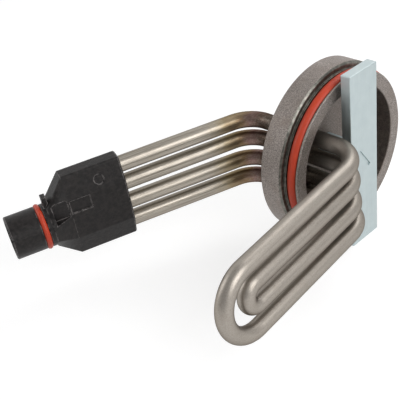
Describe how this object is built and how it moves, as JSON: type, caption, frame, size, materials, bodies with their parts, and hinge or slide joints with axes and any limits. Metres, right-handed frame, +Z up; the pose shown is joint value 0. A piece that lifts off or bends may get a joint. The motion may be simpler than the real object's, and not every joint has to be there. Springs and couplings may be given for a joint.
{
  "type": "engine preheater element",
  "caption": "Electric engine preheater: sealed round flange with a clamp bar, nested bent tubular heating hairpins and a moulded inlet plug for the power lead.",
  "frame": {"origin": "centre of the flange's seat face, where the flange's rim stops against the engine block", "axes": "+X into the engine along the flange's axis, +Z up along the clamp bar and the row of tubes, Y to the side; the plug and both hairpins turn toward -Y"},
  "size_m": [0.1039, 0.1457, 0.0728],
  "materials": {
    "flange_casting": "sand-textured rim, turned seat and hub",
    "silicone_seal": "smooth satin",
    "zinc_plate": "bright zinc plate",
    "sealing_washer": "satin",
    "heater_sheath": "satin tube, heat tinted at the flange",
    "magnesia": "compacted powder",
    "resistance_wire": "plain",
    "terminal_steel": "plain",
    "end_seal": "matt",
    "braze": "dull braze",
    "moulded_plug": "fine spark texture",
    "contact_brass": "satin",
    "contact_insert": "matt"
  },
  "bodies": {
    "heater": {"flange_body": "flange_casting", "flange_oring": "silicone_seal", "screw_sealing_washer": "sealing_washer", "outer_heater_sheath": "heater_sheath", "outer_insulation": "magnesia", "outer_heating_coil": "resistance_wire", "inner_heater_sheath": "heater_sheath", "inner_insulation": "magnesia", "inner_heating_coil": "resistance_wire", "cold_pin_1": "terminal_steel", "end_seal_1": "end_seal", "cold_pin_2": "terminal_steel", "end_seal_2": "end_seal", "cold_pin_3": "terminal_steel", "end_seal_3": "end_seal", "cold_pin_4": "terminal_steel", "end_seal_4": "end_seal", "tube_braze_rings": "braze", "connector_body": "moulded_plug", "connector_oring": "silicone_seal", "contact_insert": "contact_insert", "live_contact_pin": "contact_brass", "neutral_contact_pin": "contact_brass", "live_link": "contact_brass", "neutral_link": "contact_brass", "earth_contact": "contact_brass", "earth_strap": "contact_brass"},
    "clamp_screw": {"clamp_screw": "zinc_plate"},
    "clamp_bar": {"clamp_bar": "zinc_plate"}
  },
  "joints": [
    {"name": "clamp_screw_turn", "type": "hinge", "parent": "heater", "child": "clamp_screw", "pos_m": [0, 0, 0], "axis": [1, 0, 0], "range_deg": [0, 451]},
    {"name": "clamp_bar_slide", "type": "slide", "parent": "heater", "child": "clamp_bar", "axis": [-1, 0, 0], "range_m": [0, 0.00187]}
  ],
  "couplings": [
    {"joint": "clamp_screw_turn", "follows": "clamp_bar_slide", "rad_per_m": 4188.8}
  ]
}
